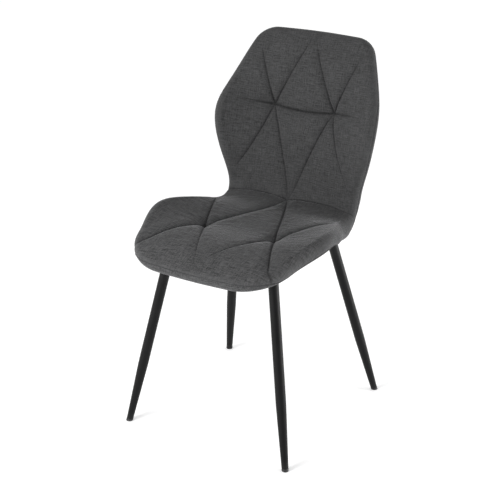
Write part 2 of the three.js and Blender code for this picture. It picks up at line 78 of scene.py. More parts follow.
def natural_spline(knots, values):
    """A smooth curve through values at increasing knots, straight at both ends."""
    n = len(knots)
    h = np.diff(knots)
    rows = np.zeros((n, n))
    right = np.zeros(n)
    rows[0, 0] = rows[-1, -1] = 1
    for i in range(1, n - 1):
        rows[i, i - 1 : i + 2] = h[i - 1], 2 * (h[i - 1] + h[i]), h[i]
        right[i] = 6 * ((values[i + 1] - values[i]) / h[i] - (values[i] - values[i - 1]) / h[i - 1])
    bend = np.linalg.solve(rows, right)

    def at(s):
        s = np.asarray(s, float)
        i = np.clip(np.searchsorted(knots, s, side="left") - 1, 0, n - 2)
        w = h[i]
        b = (s - knots[i]) / w
        a = 1 - b
        cubic = (a**3 - a) * bend[i] + (b**3 - b) * bend[i + 1]
        return a * values[i] + b * values[i + 1] + cubic * w * w / 6

    return at


KNOTS = np.concatenate([[0], np.cumsum(np.hypot(*np.diff(STATIONS[:, :2], axis=0).T))])
LENGTH = KNOTS[-1]
centre_y, centre_z, half_width, lift, depth = [natural_spline(KNOTS, STATIONS[:, k]) for k in range(5)]


def unit(v):
    return v / np.linalg.norm(v, axis=-1, keepdims=True)


def smooth(v, low, high):
    t = np.clip((v - low) / (high - low), 0, 1)
    return t * t * (3 - 2 * t)


def mid(x, s):
    """Points of the shell's middle surface: x across the chair, s along it from the front edge."""
    ty = centre_y(s + STEP) - centre_y(s - STEP)
    tz = centre_z(s + STEP) - centre_z(s - STEP)
    size = np.hypot(ty, tz)
    raised = lift(s) * np.abs(x / half_width(s)) ** WING_POWER
    return np.stack([x + 0 * s, centre_y(s) - tz / size * raised, centre_z(s) + ty / size * raised], -1)


def normal(x, s):
    """The middle surface's normals, which point towards the sitter."""
    return unit(np.cross(mid(x + STEP, s) - mid(x - STEP, s), mid(x, s + STEP) - mid(x, s - STEP)))


def above(x, s, height):
    """Points at a height above the middle surface; below it they follow the shell's extra depth."""
    height = np.asarray(height, float) + 0 * s
    return mid(x, s) + normal(x, s) * (height - np.where(height < 0, depth(s), 0))[..., None]


def outline(spacing):
    """The rim's centreline as a closed loop of (x, s), evenly spaced and the same on both sides."""
    turn = np.linspace(0, math.pi / 2, 40)
    corner_s = FRONT_CORNER * (1 - np.cos(turn))
    top_s = LENGTH - TOP_CORNER + TOP_CORNER * np.sin(turn)
    side_s = np.linspace(FRONT_CORNER, LENGTH - TOP_CORNER, 400)
    front_x = np.linspace(0, half_width(0) - FRONT_CORNER, 60)
    top_x = np.linspace(half_width(LENGTH) - TOP_CORNER, 0, 60)
    x = np.concatenate([
        front_x,
        half_width(corner_s[1:]) - FRONT_CORNER * (1 - np.sin(turn[1:])),
        half_width(side_s[1:]),
        half_width(top_s[1:]) - TOP_CORNER * (1 - np.cos(turn[1:])),
        top_x[1:],
    ])
    s = np.concatenate([0 * front_x, corner_s[1:], side_s[1:], top_s[1:], LENGTH + 0 * top_x[1:]])
    s = s + FRONT_BOW * (x / half_width(0)) ** 2 * np.clip(1 - s / BOW_REACH, 0, None) ** 2
    s = s - TOP_BOW * (x / half_width(LENGTH)) ** 2 * np.clip(1 - (LENGTH - s) / BOW_REACH, 0, None) ** 2
    run = np.concatenate([[0], np.cumsum(np.linalg.norm(np.diff(mid(x, s), axis=0), axis=1))])
    even = np.linspace(0, run[-1], int(round(run[-1] / spacing)) + 1)
    half = np.stack([np.interp(even, run, x), np.interp(even, run, s)], -1)
    return np.concatenate([half, half[-2:0:-1] * [-1, 1]])


class Rim:
    """The padded edge's frame at each point of the outline: centre, way out, normal, seam angle."""

    def __init__(self, spacing, through=()):
        """The places nearest to the points in `through` are moved onto them."""
        self.places = outline(spacing)
        for point in through:
            self.places[np.linalg.norm(self.places - point, axis=1).argmin()] = point
        self.x, self.s = self.places.T
        self.count = len(self.places)
        self.centre = mid(self.x, self.s)
        tangent = unit(np.roll(self.centre, -1, 0) - np.roll(self.centre, 1, 0))
        self.normal = normal(self.x, self.s)
        self.out = unit(np.cross(tangent, self.normal))
        forward = unit(mid(self.x, self.s - STEP) - mid(self.x, self.s + STEP))
        frontness = np.clip((self.out * forward).sum(1), 0, None) ** 2 * (self.s < LENGTH / 2)
        side = SEAM_SEAT + (SEAM_BACK - SEAM_SEAT) * smooth(self.s, *SEAM_CLIMB)
        self.seam = side + (SEAM_FRONT - side) * frontness
        self.depth = depth(self.s)
        flat = unit(np.roll(self.places, -1, 0) - np.roll(self.places, 1, 0))
        self.flat_out = np.stack([flat[:, 1], -flat[:, 0]], -1)

    def beside(self, out, height, depth_share):
        """Points beside the rim's centreline: `out` away from the chair, `height` above the surface."""
        along = height - self.depth * depth_share
        return self.centre + self.out * (out + 0 * along)[:, None] + self.normal * (along + 0 * out)[:, None]

    def swell(self, degrees):
        """How far the padding stands out under the seat's rear corners."""
        around = np.clip((SWELL_FROM - (degrees + 0 * self.s)) / SWELL_AROUND, 0, 1)
        along = smooth(self.s, *SWELL_RISE) * (1 - smooth(self.s, *SWELL_FALL))
        return HIP_SWELL * along * np.sin(math.pi * around) ** SWELL_POWER

    def near_seam(self, away):
        """The angle of a line on the roll at a distance from its seam, towards the sitter's side."""
        return self.seam + np.degrees(away / (RIM + self.swell(self.seam)))

    def roll(self, degrees, inset=0.0):
        """Points of the half round: 90 degrees is the sitter's side, 0 its outermost line."""
        turn = np.radians(degrees + 0 * self.s)
        radius = RIM - inset + self.swell(degrees)
        return self.beside(radius * np.cos(turn), radius * np.sin(turn), np.clip(-np.sin(turn), 0, None))


# ---- Seams of the quilted cover ----

TUFT_BACK = (79.2, 637.0)
TUFT_SEAT = (91.4, 191.5)
JUNCTION = (0.0, 411.0)
CREASE_END = 414.0
CREASE_BOW = 8.0
SEAM_DEPTH, SEAM_REACH, SEAM_POWER = 3.8, 24.0, 2.2
SEAM_BLEND = 1.2
SEAM_STEP, SEAM_STRIP = 1.5, 2.4
CREASE_DEPTH, CREASE_REACH = 2.0, 2.6
TUFT_PULL_REACH = 18.0
DEEPEST = 15.5
FOLD_COUNT, FOLD_DEPTH = 13, 0.55
FADE_LEFT = 0.12
LEVEL_SEAM_SAG = 6.0


def rim_at(s):
    return (float(half_width(s)), s)


def crease_line(x):
    """The s of the seam between the seat and the back, which bows up on each side."""
    t = np.abs(x) / half_width(CREASE_END)
    return JUNCTION[1] + (CREASE_END - JUNCTION[1]) * t**2 + CREASE_BOW * 4 * t * (1 - t)


def seam_lines():
    """Every seam as (points, depths): the points are (x, s), SEAM_STEP apart."""
    back_x, back_s = TUFT_BACK
    # from, to, bow in x, extra pull at the tuft, depth at the start and end, length of the end's fade
    plan = [
        (TUFT_BACK, (5.0, LENGTH - 12), 0, 0.6, 1.05, 0.65, 40),
        (TUFT_BACK, (132.0, 768.0), 0, 0.6, 1.05, 0.65, 30),
        (TUFT_BACK, (164.0, back_s), 0, 0.6, 1.0, 0.6, 35),
        (TUFT_BACK, rim_at(463.0), -10, -0.55, 1.15, 0.45, 45),
        (TUFT_BACK, JUNCTION, -5, -0.45, 1.05, 0.5, 0),
        (TUFT_SEAT, JUNCTION, 0, 0.3, 1.0, 0.7, 0),
        (TUFT_SEAT, rim_at(349.0), 0, 0.3, 1.0, 0.6, 30),
        (TUFT_SEAT, (181.0, 7.0), 0, 0.3, 1.0, 1.15, 0),
        (TUFT_SEAT, (0.0, 12.0), 0, 0.5, 1.0, 0.15, 60),
    ]
    lines = []
    for (x0, s0), (x1, s1), bow, pull, first, last, fade in plan:
        size = math.hypot(x1 - x0, s1 - s0)
        t = np.linspace(0, 1, int(size / SEAM_STEP) + 2)
        x = x0 + (x1 - x0) * t + bow * 4 * t * (1 - t)
        s = s0 + (s1 - s0) * t
        strength = first + (last - first) * t
        if fade:
            strength = strength * (FADE_LEFT + (1 - FADE_LEFT) * smooth(size * (1 - t), 0, fade))
        strength = strength * (1 + pull * np.exp(-size * t / TUFT_PULL_REACH))
        for side in (-1, 1):
            lines.append((np.stack([side * x, s], -1), SEAM_DEPTH * strength))
    # The level seam between the back's two tufts, and the crease between the seat and the back.
    t = np.linspace(-1, 1, int(2 * back_x / SEAM_STEP) + 2)
    level = np.stack([back_x * t, back_s - LEVEL_SEAM_SAG * (1 - t**2)], -1)
    lines.append((level, SEAM_DEPTH * (1.3 + 0.2 * t**4)))
    reach = half_width(CREASE_END)
    t = np.linspace(0, 1, int(reach / SEAM_STEP) + 2)
    for side in (-1, 1):
        crease = np.stack([side * reach * t, crease_line(reach * t)], -1)
        lines.append((crease, SEAM_DEPTH * (1.15 - 0.35 * t)))
    return lines


SEAMS = seam_lines()


def crossings(reach=2.0):
    """The points of the rim where seams run over it."""
    loop = outline(1.0)
    found = []
    for line, _ in SEAMS:
        away = np.linalg.norm(line[:, None] - loop[None], axis=2)
        if away.min() < reach:
            found.append(loop[np.unravel_index(away.argmin(), away.shape)[1]])
    return found


# x, s, depth and reach of every tuft.
TUFTS = [
    (side * x, s, extra, reach)
    for (x, s), extra, reach in ((TUFT_BACK, 8.0, 20.0), (TUFT_SEAT, 8.5, 21.0))
    for side in (-1, 1)
]
TUFTS.append((*JUNCTION, 2.0, 17.0))


def groove(points):
    """For each point: how far the seams pull it down, the nearest seam's distance and its strength."""
    pulled = np.zeros(len(points))
    nearest = np.full(len(points), 1e9)
    strength = np.zeros(len(points))
    for line, depths in SEAMS:
        low, high = line.min(0) - SEAM_REACH, line.max(0) + SEAM_REACH
        near = np.nonzero(((points >= low) & (points <= high)).all(1))[0]
        if not len(near):
            continue
        away = np.linalg.norm(points[near, None] - line[None], axis=2)
        at = away.argmin(1)
        r = away[np.arange(len(near)), at]
        share = depths[at] / SEAM_DEPTH
        wide = depths[at] * np.clip(1 - r / SEAM_REACH, 0, None) ** SEAM_POWER
        narrow = CREASE_DEPTH * share * np.clip(1 - r / CREASE_REACH, 0, None)
        both = wide + narrow
        old = pulled[near]
        # A soft maximum, so that two grooves run into one another without a ridge.
        extra = np.clip(SEAM_BLEND - np.abs(old - both), 0, None) ** 2 / (4 * SEAM_BLEND)
        pulled[near] = np.maximum(old, both) + extra * np.minimum(1, both)
        strength[near] = np.where(r < nearest[near], share, strength[near])
        nearest[near] = np.minimum(nearest[near], r)
    for x, s, extra, reach in TUFTS:
        away = np.hypot(points[:, 0] - x, points[:, 1] - s)
        # Small folds run out of each tuft, most of them towards the chair's side.
        outward = np.arctan2(points[:, 1] - s, (points[:, 0] - x) * (1 if x > 0 else -1))
        folds = np.sin(FOLD_COUNT * outward + 0.9 * np.sin(2.3 * outward + 0.8))
        ring = (away / reach) * np.exp(1 - away / reach)
        share = 0.35 + 0.65 * np.clip(np.cos(outward - 0.4), 0, 1)
        pulled += FOLD_DEPTH * (abs(x) > 0) * folds * ring**2 * share
        near_pit, far_pit = np.exp(-((away / reach) ** 2)), np.exp(-((away / (2.4 * reach)) ** 2))
        pulled += extra * (0.75 * near_pit + 0.25 * far_pit)
    return np.minimum(pulled, DEEPEST), nearest, strength


# ---- Mesh helpers ----


def new_object(name, data):
    made = bpy.data.objects.new(name, data)
    bpy.context.scene.collection.objects.link(made)
    return made


def mesh_object(name, points, faces):
    mesh = bpy.data.meshes.new(name)
    mesh.from_pydata([tuple(p) for p in np.asarray(points, float).tolist()], [], faces)
    mesh.validate()
    mesh.shade_smooth()
    return new_object(name, mesh)


def set_cloth_attributes(made, weave, seam, strength, edge):
    """What the woven material reads: flat coordinates, distance from a seam, its strength, edge share."""
    count = len(made.data.vertices)
    if weave.shape[1] == 2:
        weave = np.c_[weave, np.zeros(count)]
    vectors = made.data.attributes.new("weave", "FLOAT_VECTOR", "POINT").data
    vectors.foreach_set("vector", np.asarray(weave, np.float32).ravel())
    for name, values in (("seam", seam), ("seam_strength", strength), ("edge", edge)):
        values = np.asarray(values + np.zeros(count), np.float32)
        made.data.attributes.new(name, "FLOAT", "POINT").data.foreach_set("value", values)


def apply_modifiers(made):
    """Replaces the object's mesh by its evaluated one and removes the modifiers."""
    graph = bpy.context.evaluated_depsgraph_get()
    mesh = bpy.data.meshes.new_from_object(made.evaluated_get(graph), depsgraph=graph)
    made.modifiers.clear()
    made.data = mesh
    mesh.name = made.name


def smooth_and_thicken(made, thickness):
    """One subdivision, then a real thickness towards the inside."""
    for kind, settings in (
        ("SUBSURF", {"levels": 1, "render_levels": 1}),
        ("SOLIDIFY", {"thickness": thickness * MM, "offset": -1.0}),
    ):
        modifier = made.modifiers.new(kind.lower(), kind)
        for key, value in settings.items():
            setattr(modifier, key, value)
    apply_modifiers(made)


def read(collection, key):
    flat = np.zeros(len(collection) * 3, np.float32)
    collection.foreach_get(key, flat)
    return flat.reshape(-1, 3).astype(float)


def coordinates(mesh):
    return read(mesh.vertices, "co")


def inside(points, loop):
    """Which points lie inside a closed loop."""
    x, y = points.T
    found = np.zeros(len(points), bool)
    for (x0, y0), (x1, y1) in zip(loop, np.roll(loop, -1, 0)):
        crosses = (y0 > y) != (y1 > y)
        with np.errstate(divide="ignore", invalid="ignore"):
            found ^= crosses & (x < (x1 - x0) * (y - y0) / (y1 - y0) + x0)
    return found


def distance(points, others):
    """How far each point is from the nearest of the others."""
    nearest = np.full(len(points), 1e9)
    for start in range(0, len(others), 400):
        part = others[start : start + 400]
        nearest = np.minimum(nearest, np.linalg.norm(points[:, None] - part[None], axis=2).min(1))
    return nearest


def flat_sheet(rim, spacing, lines):
    """A triangulated sheet in (x, s) inside the rim, with an edge along every line and extra
    points beside it: (points, faces, the rim's vertices in order, the lines' edges)."""
    loop = rim.places
    points = [loop]
    edges = [(i, (i + 1) % len(loop)) for i in range(len(loop))]
    count = len(loop)
    first_line_edge = len(edges)
    strips = []
    for line in lines:
        step = max(1, int(round(spacing * 0.9 / np.linalg.norm(line[1] - line[0]))))
        chosen = line[sorted({*range(0, len(line), step), len(line) - 1})]
        chosen = chosen[inside(chosen, loop) & (distance(chosen, loop) > spacing * 0.45)]
        points.append(chosen)
        edges += [(count + i, count + i + 1) for i in range(len(chosen) - 1)]
        count += len(chosen)
        along = unit(np.gradient(chosen, axis=0))
        across = np.stack([-along[:, 1], along[:, 0]], -1)
        strips += [chosen + SEAM_STRIP * across, chosen - SEAM_STRIP * across]
    every = np.concatenate(lines)
    beside = np.concatenate(strips)
    beside = beside[(distance(beside, every) > SEAM_STRIP * 0.93) & inside(beside, loop)]
    beside = beside[distance(beside, loop) > spacing * 0.5]
    kept = []
    for p in beside:
        if all((p[0] - q[0]) ** 2 + (p[1] - q[1]) ** 2 > (spacing * 0.5) ** 2 for q in kept[-400:]):
            kept.append(p)
    kept = np.array(kept)
    points.append(kept)
    columns = int(np.abs(loop[:, 0]).max() / spacing) + 1
    grid_x = np.arange(-columns, columns + 1) * spacing
    grid_s = np.arange(0, LENGTH + spacing, spacing)
    lattice = np.stack(np.meshgrid(grid_x, grid_s), -1).reshape(-1, 2)
    lattice = lattice[inside(lattice, loop)]
    clear = ((loop, spacing * 0.55), (every, SEAM_STRIP + spacing * 0.42), (kept, spacing * 0.55))
    for others, reach in clear:
        lattice = lattice[distance(lattice, others) > reach]
    points.append(lattice)
    every_point = [Vector(p) for p in np.concatenate(points).tolist()]
    made, made_edges, faces, from_point, from_edge, _ = delaunay_2d_cdt(every_point, edges, [], 1, 1e-4)
    place = {}
    for i, origins in enumerate(from_point):
        for origin in origins:
            place[origin] = i
    rim_vertices = [place[i] for i in range(len(loop))]
    on_line = [
        edge for edge, origin in zip(made_edges, from_edge) if any(o >= first_line_edge for o in origin)
    ]
    return np.array([tuple(p) for p in made]), [list(f) for f in faces], rim_vertices, on_line


def quads(before, after, order=(0, 1, 2, 3)):
    """Faces between two closed rings of vertex numbers."""
    faces = []
    for i in range(len(before)):
        j = (i + 1) % len(before)
        corners = before[i], before[j], after[j], after[i]
        faces.append([corners[k] for k in order])
    return faces


def numbered(rings, first=0):
    """The vertex numbers of rings of points, in order."""
    return (first + np.arange(len(rings) * len(rings[0]))).reshape(len(rings), -1).tolist()


def add_rings(points, faces, first, rings):
    """A sheet with rings of points after `first`, each joined to the one before by quads."""
    numbers = numbered(rings, len(points))
    faces = [list(f) for f in faces]
    for before, after in zip([list(first), *numbers], numbers):
        faces += quads(before, after, (0, 3, 2, 1))
    return np.concatenate([points, *rings]), faces


def slab(name, top, bottom, faces):
    """A closed piece between two matching sheets of points, of which only the faces' are used."""
    used = sorted({i for f in faces for i in f})
    place = {old: new for new, old in enumerate(used)}
    count = len(used)
    faces = [[place[i] for i in f] for f in faces]
    sides = {(a, b): True for f in faces for a, b in zip(f, f[1:] + f[:1])}
    walls = [[b, a, a + count, b + count] for a, b in sides if (b, a) not in sides]
    under = [[i + count for i in reversed(f)] for f in faces]
    return mesh_object(name, np.concatenate([top[used], bottom[used]]), [*faces, *under, *walls])


def loft(name, rings):
    """A closed surface through rings of equal size, in mm, with flat ends."""
    numbers = numbered(rings)
    faces = [f for before, after in zip(numbers, numbers[1:]) for f in quads(before, after)]
    return mesh_object(name, np.concatenate(rings) * MM, [*faces, numbers[0][::-1], numbers[-1]])


def closed_tube(name, rings, order=(0, 1, 2, 3)):
    """A tube through rings of points (rings, points in each, 3) in mm, which closes on itself."""
    numbers = numbered(rings)
    joined = zip(numbers, numbers[1:] + numbers[:1])
    faces = [f for before, after in joined for f in quads(before, after, order)]
    return mesh_object(name, rings.reshape(-1, 3) * MM, faces)


def sharpen(made, degrees=35):
    made.data.set_sharp_from_angle(angle=math.radians(degrees))


def finish_piece(made, material, slot, *stands_for):
    made.data.materials.clear()
    made.data.materials.append(material)
    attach(made, "root")
    if stands_for:
        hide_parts(*stands_for)
    return made


# ---- Materials ----


class Nodes:
    """A node tree, built with short calls."""

    def __init__(self, tree):
        self.tree = tree

    def add(self, kind, **settings):
        made = self.tree.nodes.new(kind)
        for key, value in settings.items():
            setattr(made, key, value)
        return made

    def put(self, socket, value):
        if isinstance(value, bpy.types.NodeSocket):
            self.tree.links.new(value, socket)
        elif isinstance(value, (tuple, list)) and len(socket.default_value) == 4 and len(value) == 3:
            socket.default_value = (*value, 1)
        else:
            socket.default_value = value

    def math(self, operation, *values):
        made = self.add("ShaderNodeMath", operation=operation)
        for socket, value in zip(made.inputs, values):
            self.put(socket, value)
        return made.outputs[0]

    def times(self, a, b):
        return self.math("MULTIPLY", a, b)

    def plus(self, a, b):
        return self.math("ADD", a, b)

    def vector(self, operation, *values):
        made = self.add("ShaderNodeVectorMath", operation=operation)
        for socket, value in zip(made.inputs, values):
            self.put(socket, value)
        return made.outputs[0]

    def split(self, vector):
        made = self.add("ShaderNodeSeparateXYZ")
        self.put(made.inputs[0], vector)
        return made.outputs

    def attribute(self, name, output="Vector"):
        return self.add("ShaderNodeAttribute", attribute_name=name).outputs[output]

    def noise(self, vector, scale, detail=2.0, roughness=0.5):
        made = self.add("ShaderNodeTexNoise", noise_dimensions="3D")
        values = {"Vector": vector, "Scale": scale, "Detail": detail, "Roughness": roughness}
        for key, value in values.items():
            self.put(made.inputs[key], value)
        return made.outputs[0]

    def ramp(self, value, low, high, to_low, to_high, kind="LINEAR"):
        made = self.add("ShaderNodeMapRange", clamp=True, interpolation_type=kind)
        for socket, item in zip(made.inputs, (value, low, high, to_low, to_high)):
            self.put(socket, item)
        return made.outputs[0]

    def tint(self, factor, dark, light):
        made = self.add("ShaderNodeMix", data_type="RGBA", blend_type="MIX", clamp_factor=True)
        self.put(made.inputs[0], factor)
        self.put(made.inputs[6], dark)
        self.put(made.inputs[7], light)
        return made.outputs[2]

    def scale(self, vector, factor):
        made = self.add("ShaderNodeVectorMath", operation="SCALE")
        self.put(made.inputs[0], vector)
        self.put(made.inputs[3], factor)
        return made.outputs[0]

    def bump(self, height, distance, strength):
        made = self.add("ShaderNodeBump")
        for key, value in (("Strength", strength), ("Distance", distance), ("Height", height)):
            self.put(made.inputs[key], value)
        return made.outputs[0]

    def place(self, output="Object"):
        return self.add("ShaderNodeTexCoord").outputs[output]


class Surface(Nodes):
    """A material of one principled shader."""

    def __init__(self, name):
        self.material = bpy.data.materials.new(name)
        self.material.use_nodes = True
        super().__init__(self.material.node_tree)
        self.tree.nodes.clear()
        self.shader = self.add("ShaderNodeBsdfPrincipled")
        output = self.add("ShaderNodeOutputMaterial")
        self.put(output.inputs[0], self.shader.outputs[0])

    def surface(self, **values):
        for key, value in values.items():
            self.put(self.shader.inputs[key.replace("_", " ")], value)
        return self.material


THREAD_PITCH = 0.9
# How dark the painted shade in the folds along the seams is.
SEAM_SHADE_DARKNESS = 0.45


def woven(name, dark, light):
    """A melange plain weave in the fabric's own flat coordinates, which are in millimetres."""
    n = Surface(name)
    flat = n.attribute("weave")
    # Threads wander a little, so that the weave isn't a perfect grid.
    drift = n.noise(flat, 0.09, 2.0)
    wander = n.vector("ADD", flat, n.scale(n.vector("SUBTRACT", (1, 1, 0), (0.5, 0.5, 0)), drift))
    x, s, _ = n.split(n.scale(wander, math.pi / THREAD_PITCH))
    sin_x, sin_s = n.math("SINE", x), n.math("SINE", s)
    over = n.ramp(n.times(sin_x, sin_s), -0.15, 0.15, 0, 1)
    warp, weft = n.math("ABSOLUTE", sin_x), n.math("ABSOLUTE", sin_s)
    weave = n.plus(n.times(warp, over), n.times(weft, n.math("SUBTRACT", 1.0, over)))
    # Slubs: long faint streaks of lighter and darker yarn in both directions.
    upright = n.noise(n.vector("MULTIPLY", flat, (0.42, 0.045, 1)), 1.0, 2.5, 0.62)
    across = n.noise(n.vector("MULTIPLY", flat, (0.04, 0.46, 1)), 1.0, 2.5, 0.62)
    fibre = n.noise(flat, 1.35, 3.0, 0.7)
    cloud = n.noise(flat, 0.016, 2.0)
    speck = n.noise(flat, 0.33, 2.0, 0.6)
    tone = n.plus(n.times(upright, 0.42), n.times(across, 0.58))
    tone = n.plus(n.plus(n.times(tone, 0.55), n.times(fibre, 0.25)), n.times(speck, 0.2))
    # The seat's slubs stand out more than the back's.
    gain = n.ramp(n.split(flat)[1], 150.0, 420.0, 1.5, 1.0)
    gain = n.times(gain, n.ramp(n.attribute("edge", "Fac"), 0.0, 0.8, 1.0, 0.6))
    tone = n.ramp(n.times(n.math("SUBTRACT", tone, 0.5), gain), -0.12, 0.12, 0, 1)
    color = n.tint(tone, dark, light)
    # The gaps between threads are darker, with soft clouds over the whole cloth.
    shade = n.ramp(weave, 0.0, 0.75, 0.72, 1.06)
    shade = n.times(shade, n.ramp(cloud, 0.3, 0.7, 0.95, 1.05))
    # Painted light: the cloth is lighter towards the seat's front edge, where more light falls on it.
    shade = n.times(shade, n.ramp(n.split(flat)[1], 60.0, 220.0, 1.28, 1.0))
    # Painted shade: the folds at the seams are dark, darker and wider where the seam is stronger.
    strength = n.attribute("seam_strength", "Fac")
    width = n.ramp(strength, 0.6, 1.6, 1.9, 4.4)
    seam_shade = n.ramp(n.attribute("seam", "Fac"), 0.2, width, SEAM_SHADE_DARKNESS, 0.0)
    seam_shade = n.times(seam_shade, n.ramp(strength, 0.1, 1.3, 0.1, 1.35))
    shade = n.times(shade, n.math("SUBTRACT", 1.0, seam_shade))
    # Painted light and shade: the crowns between the seams are a little lighter than their sides, and the
    # rounded edge is lighter too.
    shade = n.times(shade, n.ramp(n.attribute("seam", "Fac"), 3.0, 26.0, 0.94, 1.03))
    shade = n.times(shade, n.ramp(n.attribute("edge", "Fac"), 0.0, 1.0, 1.0, 1.1))
    height = n.plus(n.plus(n.times(weave, 0.6), n.times(tone, 0.4)), n.times(fibre, 0.35))
    return n.surface(
        Base_Color=n.scale(color, shade),
        Roughness=n.ramp(fibre, 0.3, 0.7, 0.86, 0.98),
        Specular_IOR_Level=0.25,
        Sheen_Weight=0.3,
        Sheen_Roughness=0.28,
        Sheen_Tint=(0.9, 0.9, 0.92),
        Normal=n.bump(height, 0.00035, 0.55),
    )


def powder_coat(name):
    """Matt black powder coat: a fine orange peel, faint clouds and rubbed edges."""
    n = Surface(name)
    place = n.place()
    peel = n.noise(place, 1500, 2.0)
    cloud = n.noise(place, 38, 3.0)
    worn = n.ramp(n.add("ShaderNodeNewGeometry").outputs["Pointiness"], 0.53, 0.62, 0.0, 1.0)
    color = n.tint(n.ramp(cloud, 0.3, 0.7, 0, 1), (0.003, 0.003, 0.0032), (0.005, 0.005, 0.0053))
    color = n.tint(n.times(worn, 0.5), color, (0.06, 0.06, 0.062))
    mixed = n.plus(n.times(cloud, 0.5), n.times(peel, 0.5))
    return n.surface(
        Base_Color=color,
        Roughness=n.ramp(mixed, 0.35, 0.65, 0.4, 0.52),
        Specular_IOR_Level=0.15,
        Normal=n.bump(peel, 0.00012, 0.35),
    )


def moulded_plastic(name):
    n = Surface(name)
    place = n.place()
    grain = n.noise(place, 1100, 3.0)
    scuff = n.ramp(n.noise(n.vector("MULTIPLY", place, (1, 1, 6)), 160, 4.0, 0.65), 0.55, 0.72, 0, 1)
    color = n.tint(scuff, (0.014, 0.014, 0.0145), (0.035, 0.035, 0.036))
    return n.surface(
        Base_Color=color,
        Roughness=n.ramp(grain, 0.3, 0.7, 0.5, 0.66),
        Normal=n.bump(grain, 0.0001, 0.4),
    )


def zinc_plate(name):
    n = Surface(name)
    place = n.place()
    cloud = n.noise(place, 260, 4.0, 0.6)
    color = n.tint(n.ramp(cloud, 0.3, 0.7, 0, 1), (0.5, 0.51, 0.52), (0.68, 0.7, 0.71))
    return n.surface(
        Base_Color=color,
        Metallic=1.0,
        Roughness=n.ramp(cloud, 0.3, 0.7, 0.26, 0.42),
        Normal=n.bump(n.noise(place, 1800, 2.0), 0.00005, 0.3),
    )


def open_foam(name):
    n = Surface(name)
    place = n.place()
    cells = n.add("ShaderNodeTexVoronoi", feature="DISTANCE_TO_EDGE")
    n.put(cells.inputs["Vector"], place)
    n.put(cells.inputs["Scale"], 900.0)
    wall = n.ramp(cells.outputs[0], 0.0, 0.18, 1.0, 0.0)
    cloud = n.noise(place, 20, 3.0)
    color = n.tint(wall, (0.5, 0.43, 0.27), (0.78, 0.71, 0.52))
    return n.surface(
        Base_Color=n.scale(color, n.ramp(cloud, 0.3, 0.7, 0.93, 1.05)),
        Roughness=n.ramp(cloud, 0.3, 0.7, 0.9, 1.0),
        Normal=n.bump(wall, 0.0006, 0.6),
    )


def birch_ply(name):
    """Moulded plywood: long grain on its faces and the plies' layers at its edge."""
    n = Surface(name)
    place = n.place()
    bent = n.vector("MULTIPLY", place, (1, 0.08, 0.08))
    figure = n.noise(bent, 130, 4.0, 0.6)
    ring = n.math("FRACT", n.times(n.noise(bent, 22, 2.0), 9.0))
    pore = n.ramp(n.noise(n.vector("MULTIPLY", place, (1, 0.03, 0.03)), 1400, 2.0), 0.6, 0.7, 0, 1)
    color = n.tint(n.ramp(figure, 0.3, 0.7, 0, 1), (0.36, 0.22, 0.11), (0.56, 0.39, 0.22))
    color = n.tint(n.times(ring, 0.25), color, (0.31, 0.18, 0.09))
    color = n.tint(n.times(pore, 0.5), color, (0.2, 0.11, 0.05))
    return n.surface(
        Base_Color=color,
        Roughness=n.ramp(figure, 0.3, 0.7, 0.52, 0.68),
        Normal=n.bump(pore, 0.0001, -0.4),
    )


GREY_DARK, GREY_LIGHT = (0.0165, 0.0165, 0.017), (0.074, 0.074, 0.075)
seat_cloth = woven("seat_cloth", GREY_DARK, GREY_LIGHT)
back_cloth = woven("back_cloth", GREY_DARK, GREY_LIGHT)
welt_cloth = woven("welt_cloth", (0.026, 0.026, 0.027), (0.052, 0.052, 0.053))
foam_material = open_foam("foam_cells")
ply_material = birch_ply("birch_ply")
leg_material = powder_coat("powder_coat")
glide_material = moulded_plastic("moulded_plastic")
zinc_material = zinc_plate("zinc_plate")

# ---- The quilted cover ----

SHEET_SPACING = 5.3
ROLL_STEPS = 7
RINGS = ROLL_STEPS + 1
# How far from the welt's middle each cover ends, and how far in it is tucked under the cord.
COVER_EDGE, TUCK_EDGE, TUCK_DEPTH = 0.9, 0.3, 2.0
# Grooves get shallower towards the rim, over this distance, and go on getting so over the roll.
RIM_FADE, RIM_SHARE, ROLL_FADE = 26, 0.5, 0.55
SEAM_CREASE = 0.8
JOIN_ANGLE = 0.9
SIM_FRAMES = 20
# The cloth may move this far, in mm; it is held this much away from the seams, and at its rim.
CLOTH_CAP, HELD_FREE, HELD_SEAM, HELD_RIM = 5.5, 0.32, 0.55, 0.45
SEAM_HOLD_DEPTH = 6
CLOTH = {
    "quality": 6, "mass": 0.25, "air_damping": 2.0, "tension_stiffness": 12,
    "compression_stiffness": 12, "shear_stiffness": 4, "bending_stiffness": 1.5,
    "vertex_group_mass": "held", "pin_stiffness": 1.0, "shrink_min": -0.006,
    "use_pressure": True, "uniform_pressure_force": 4.0,
}



def roll_over(rim, side, inset, fade):
    """A cover's rings round the padded edge and their flat coordinates: side 1 is the sitter's."""
    rings = []
    weave = []
    for share in np.arange(1, ROLL_STEPS + 1) / ROLL_STEPS:
        turned = (rim.near_seam(side * COVER_EDGE) - 90 * side) * share
        rings.append(rim.roll(90 * side + turned, inset * (1 - fade * share)))
        weave.append(rim.places + rim.flat_out * (np.radians(np.abs(turned)) * RIM)[:, None])
    # The last ring is tucked under the cord.
    rings.append(rim.roll(rim.near_seam(side * TUCK_EDGE), TUCK_DEPTH))
    weave.append(weave[-1] + side * rim.flat_out * TUCK_DEPTH)
    return rings, weave


rim = Rim(SHEET_SPACING, crossings())
seam_paths = [line for line, _ in SEAMS]
sheet_points, sheet_faces, sheet_rim, seam_edges = flat_sheet(rim, SHEET_SPACING, seam_paths)
pulled, seam_away, seam_strength = groove(sheet_points)
pulled *= RIM_SHARE + (1 - RIM_SHARE) * smooth(distance(sheet_points, rim.places), 0, RIM_FADE)
cover_points = above(*sheet_points.T, RIM - pulled)
rim_pulled = pulled[sheet_rim]

